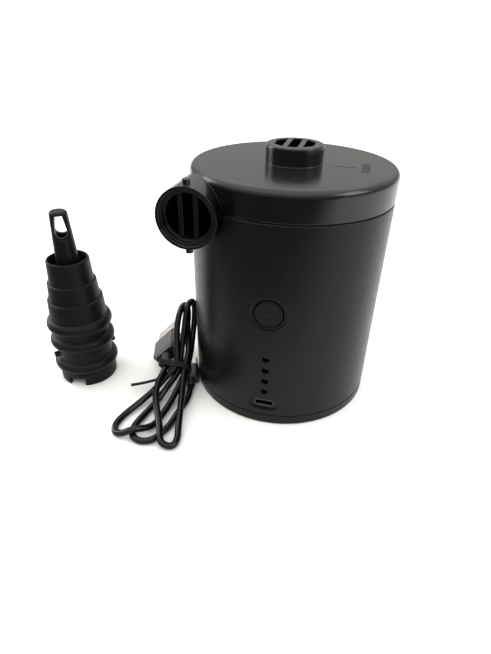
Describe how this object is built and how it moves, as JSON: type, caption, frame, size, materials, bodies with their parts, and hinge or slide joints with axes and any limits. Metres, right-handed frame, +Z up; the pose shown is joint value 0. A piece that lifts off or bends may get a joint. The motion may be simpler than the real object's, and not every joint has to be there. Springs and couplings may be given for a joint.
{
  "type": "electric air mattress pump",
  "caption": "Drum-shaped rechargeable air pump with a top inlet, a side outlet tube, a power button, charge lights, push-together nozzles and a tied charging cable.",
  "frame": {"origin": "centre of the drum's flat base, on the surface it stands on", "axes": "+Z up along the drum and impeller axis, -Y towards the front with the button and the outlet mouth, -X towards the outlet tube and the nozzles"},
  "size_m": [0.1515, 0.1112, 0.112],
  "materials": {
    "case_black": "satin black ABS",
    "cap_black": "semi-gloss black ABS",
    "button_black": "satin black ABS",
    "foot_rubber": "black silicone pads",
    "screw_steel": "zinc-plated steel",
    "mark_grey": "moulded mark, a shade lighter than the cap",
    "inner_plastic": "moulded ABS",
    "impeller_plastic": "natural nylon",
    "motor_steel": "plated steel",
    "magnet_ferrite": "ferrite",
    "motor_plastic": "moulded nylon",
    "contact_brass": "copper alloy",
    "armature_steel": "laminated steel with copper windings",
    "cell_wrap": "shrink-wrapped lithium cell",
    "contact_nickel": "nickel plate",
    "board_green": "solder-masked glass-epoxy board",
    "chip_black": "moulded epoxy",
    "led_white": "LED packages",
    "lens_clear": "clear acrylic light pipes",
    "nozzle_black": "matt black ABS",
    "cable_black": "satin black PVC jacket",
    "tie_black": "PVC-coated wire tie",
    "plug_black": "moulded black PVC",
    "plug_nickel": "nickel-plated steel",
    "plug_tongue": "moulded insulator"
  },
  "bodies": {
    "housing": {"base_cap": "case_black", "body_shell": "case_black", "top_cap": "cap_black", "base_feet": "foot_rubber", "base_screws": "screw_steel", "deck_screws": "screw_steel", "motor_screws": "screw_steel", "top_mark": "mark_grey", "scroll_deck": "inner_plastic", "scroll_wall": "inner_plastic", "motor_can": "motor_steel", "motor_magnets": "magnet_ferrite", "motor_end_bell": "motor_plastic", "motor_terminals": "contact_brass", "battery_cell_right": "cell_wrap", "battery_cell_left": "cell_wrap", "battery_cradle": "inner_plastic", "battery_tabs": "contact_nickel", "main_board": "board_green", "board_rails": "inner_plastic", "board_parts": "chip_black", "switch_body": "chip_black", "usb_port_shell": "contact_nickel", "usb_port_tongue": "chip_black", "charge_leds": "led_white", "light_pipes": "lens_clear", "cable_hank": "cable_black", "cable_plug_lead": "cable_black", "cable_small_lead": "cable_black", "cable_tie_ring": "tie_black", "cable_tie_tail": "tie_black", "usb_a_relief": "plug_black", "usb_a_grip": "plug_black", "usb_a_shell": "plug_nickel", "usb_a_tongue": "plug_tongue", "small_plug_relief": "plug_black", "small_plug_grip": "plug_black", "small_plug_shell": "plug_nickel"},
    "rotor": {"motor_shaft": "motor_steel", "armature": "armature_steel", "commutator": "contact_brass", "impeller": "impeller_plastic"},
    "button": {"power_button": "button_black", "switch_plunger": "chip_black"},
    "adapter": {"ribbed_adapter": "nozzle_black"},
    "stepped": {"stepped_nozzle": "nozzle_black"},
    "tip": {"pinch_nozzle": "nozzle_black"}
  },
  "joints": [
    {"name": "rotor_spin", "type": "hinge", "parent": "housing", "child": "rotor", "pos_m": [0, 0, 0.08], "axis": [0, 0, 1], "continuous": true},
    {"name": "button_press", "type": "slide", "parent": "housing", "child": "button", "axis": [0, 1, 0], "range_m": [0, 0.0008], "stiffness_N_per_m": 1200, "springref_m": -0.0005},
    {"name": "adapter_lift", "type": "slide", "parent": "housing", "child": "adapter", "axis": [0, 0, 1], "range_m": [0, 0.04]},
    {"name": "stepped_lift", "type": "slide", "parent": "adapter", "child": "stepped", "axis": [0, 0, 1], "range_m": [0, 0.03]},
    {"name": "tip_lift", "type": "slide", "parent": "stepped", "child": "tip", "axis": [0, 0, 1], "range_m": [0, 0.04]}
  ]
}
